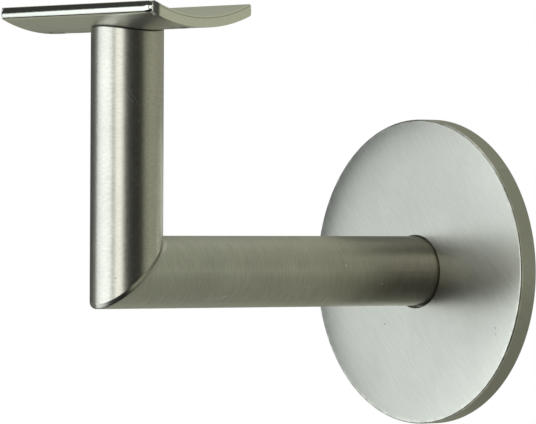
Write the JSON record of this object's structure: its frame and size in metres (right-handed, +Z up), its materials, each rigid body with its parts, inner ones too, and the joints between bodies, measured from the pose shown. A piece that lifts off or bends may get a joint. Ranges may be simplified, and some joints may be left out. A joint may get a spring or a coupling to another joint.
{
  "type": "handrail bracket",
  "caption": "Wall bracket for a round handrail: cover rosette over a screwed flange, straight round arm, mitred post and a curved saddle plate with holes for rail screws.",
  "frame": {"origin": "centre of the wall screw circle on the wall's face", "axes": "+Y into the wall, so the arm runs along -Y; X along the handrail; +Z up, from the arm to the saddle"},
  "size_m": [0.07, 0.104, 0.0934],
  "materials": {
    "flange_steel": "mill finish with fine grain",
    "weld_metal": "weld metal with heat tint",
    "arm_steel": "satin, ground round the bar",
    "post_steel": "satin, ground round the bar",
    "saddle_steel": "matt faces, smooth rounded edges",
    "screw_steel": "plain turned steel",
    "rosette_steel": "satin with straight diagonal grain on the face"
  },
  "bodies": {
    "root": {"wall_flange": "flange_steel", "wall_weld": "weld_metal", "arm": "arm_steel", "post": "post_steel", "saddle_plate": "saddle_steel", "saddle_screw": "screw_steel", "cover_rosette": "rosette_steel"}
  },
  "joints": []
}
